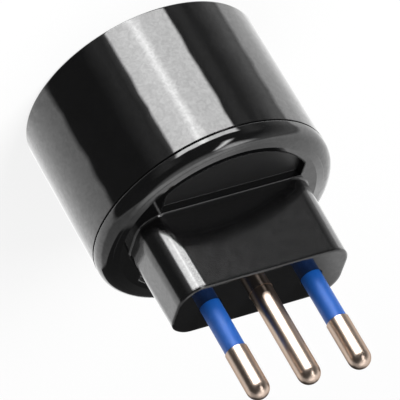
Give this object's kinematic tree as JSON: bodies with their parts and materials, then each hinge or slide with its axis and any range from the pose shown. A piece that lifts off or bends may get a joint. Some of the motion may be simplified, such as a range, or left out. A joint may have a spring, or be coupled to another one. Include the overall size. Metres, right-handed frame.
{
  "type": "earthed plug adapter",
  "caption": "In-line plug adapter: round earthed socket well with a sprung shutter at one end, flat foot with a row of round pins at the other.",
  "frame": {"origin": "centre of the socket mouth, on the plane of the mouth's rim", "axes": "+Z along the axis from the socket mouth to the pin tips, X along the row of pins, the earth clips at +Y and -Y"},
  "size_m": [0.0432, 0.0432, 0.0638],
  "materials": {
    "black_plastic": "gloss",
    "blue_plastic": "satin",
    "nickel": "polished",
    "brass": "satin",
    "steel": "satin",
    "pale_plastic": "matt",
    "carrier_plastic": "matt"
  },
  "bodies": {
    "casing": {"socket_body": "black_plastic", "rear_cap": "black_plastic", "contact_carrier": "carrier_plastic", "shutter_cover": "carrier_plastic", "shutter_spring": "steel", "earth_strap": "brass", "earth_washer": "steel", "earth_pin": "nickel", "live_pin": "nickel", "neutral_pin": "nickel", "live_sleeve": "blue_plastic", "neutral_sleeve": "blue_plastic", "live_contact": "brass", "neutral_contact": "brass", "live_contact_clip": "steel", "neutral_contact_clip": "steel", "screw_front": "steel", "screw_rear": "steel"},
    "shutter": {"shutter": "pale_plastic"}
  },
  "joints": [
    {"name": "shutter_slide", "type": "slide", "parent": "casing", "child": "shutter", "axis": [1, 0, 0], "range_m": [0, 0.0056], "stiffness_N_per_m": 150, "springref_m": -0.003, "deforming": ["shutter_spring"]}
  ]
}
